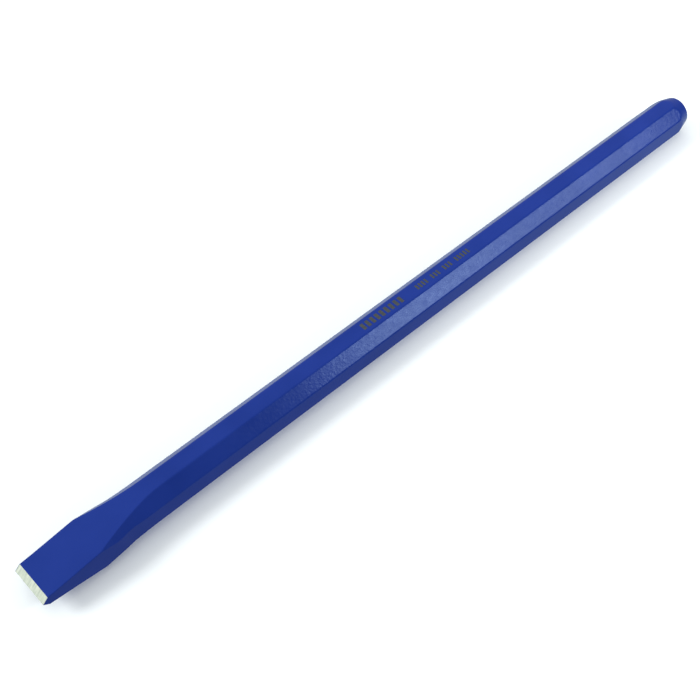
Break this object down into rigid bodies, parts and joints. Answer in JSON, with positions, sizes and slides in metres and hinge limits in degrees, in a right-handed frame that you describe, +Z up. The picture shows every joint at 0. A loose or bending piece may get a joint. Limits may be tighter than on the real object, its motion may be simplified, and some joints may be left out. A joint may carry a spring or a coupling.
{
  "type": "cold chisel",
  "caption": "Long octagonal-shank cold chisel with a flattened wedge blade, ground bevels, a chamfered striking head and a blue lacquer finish.",
  "frame": {"origin": "centre of the bounding box's bottom: mid-length and mid-width, on the surface the chisel lies on", "axes": "+X along the tool from the cutting edge to the struck head, +Z up through the blade's broad face, +Y across the blade"},
  "size_m": [0.45, 0.0236, 0.0213],
  "materials": {
    "steel": "ground bevels, fine scratches across the edge",
    "lacquer": "satin-gloss royal blue lacquer with a slight orange peel",
    "ink": "thin matt olive printing ink"
  },
  "bodies": {
    "root": {"forged_body": "steel", "lacquer_coat": "lacquer", "printed_mark": "ink"}
  },
  "joints": []
}
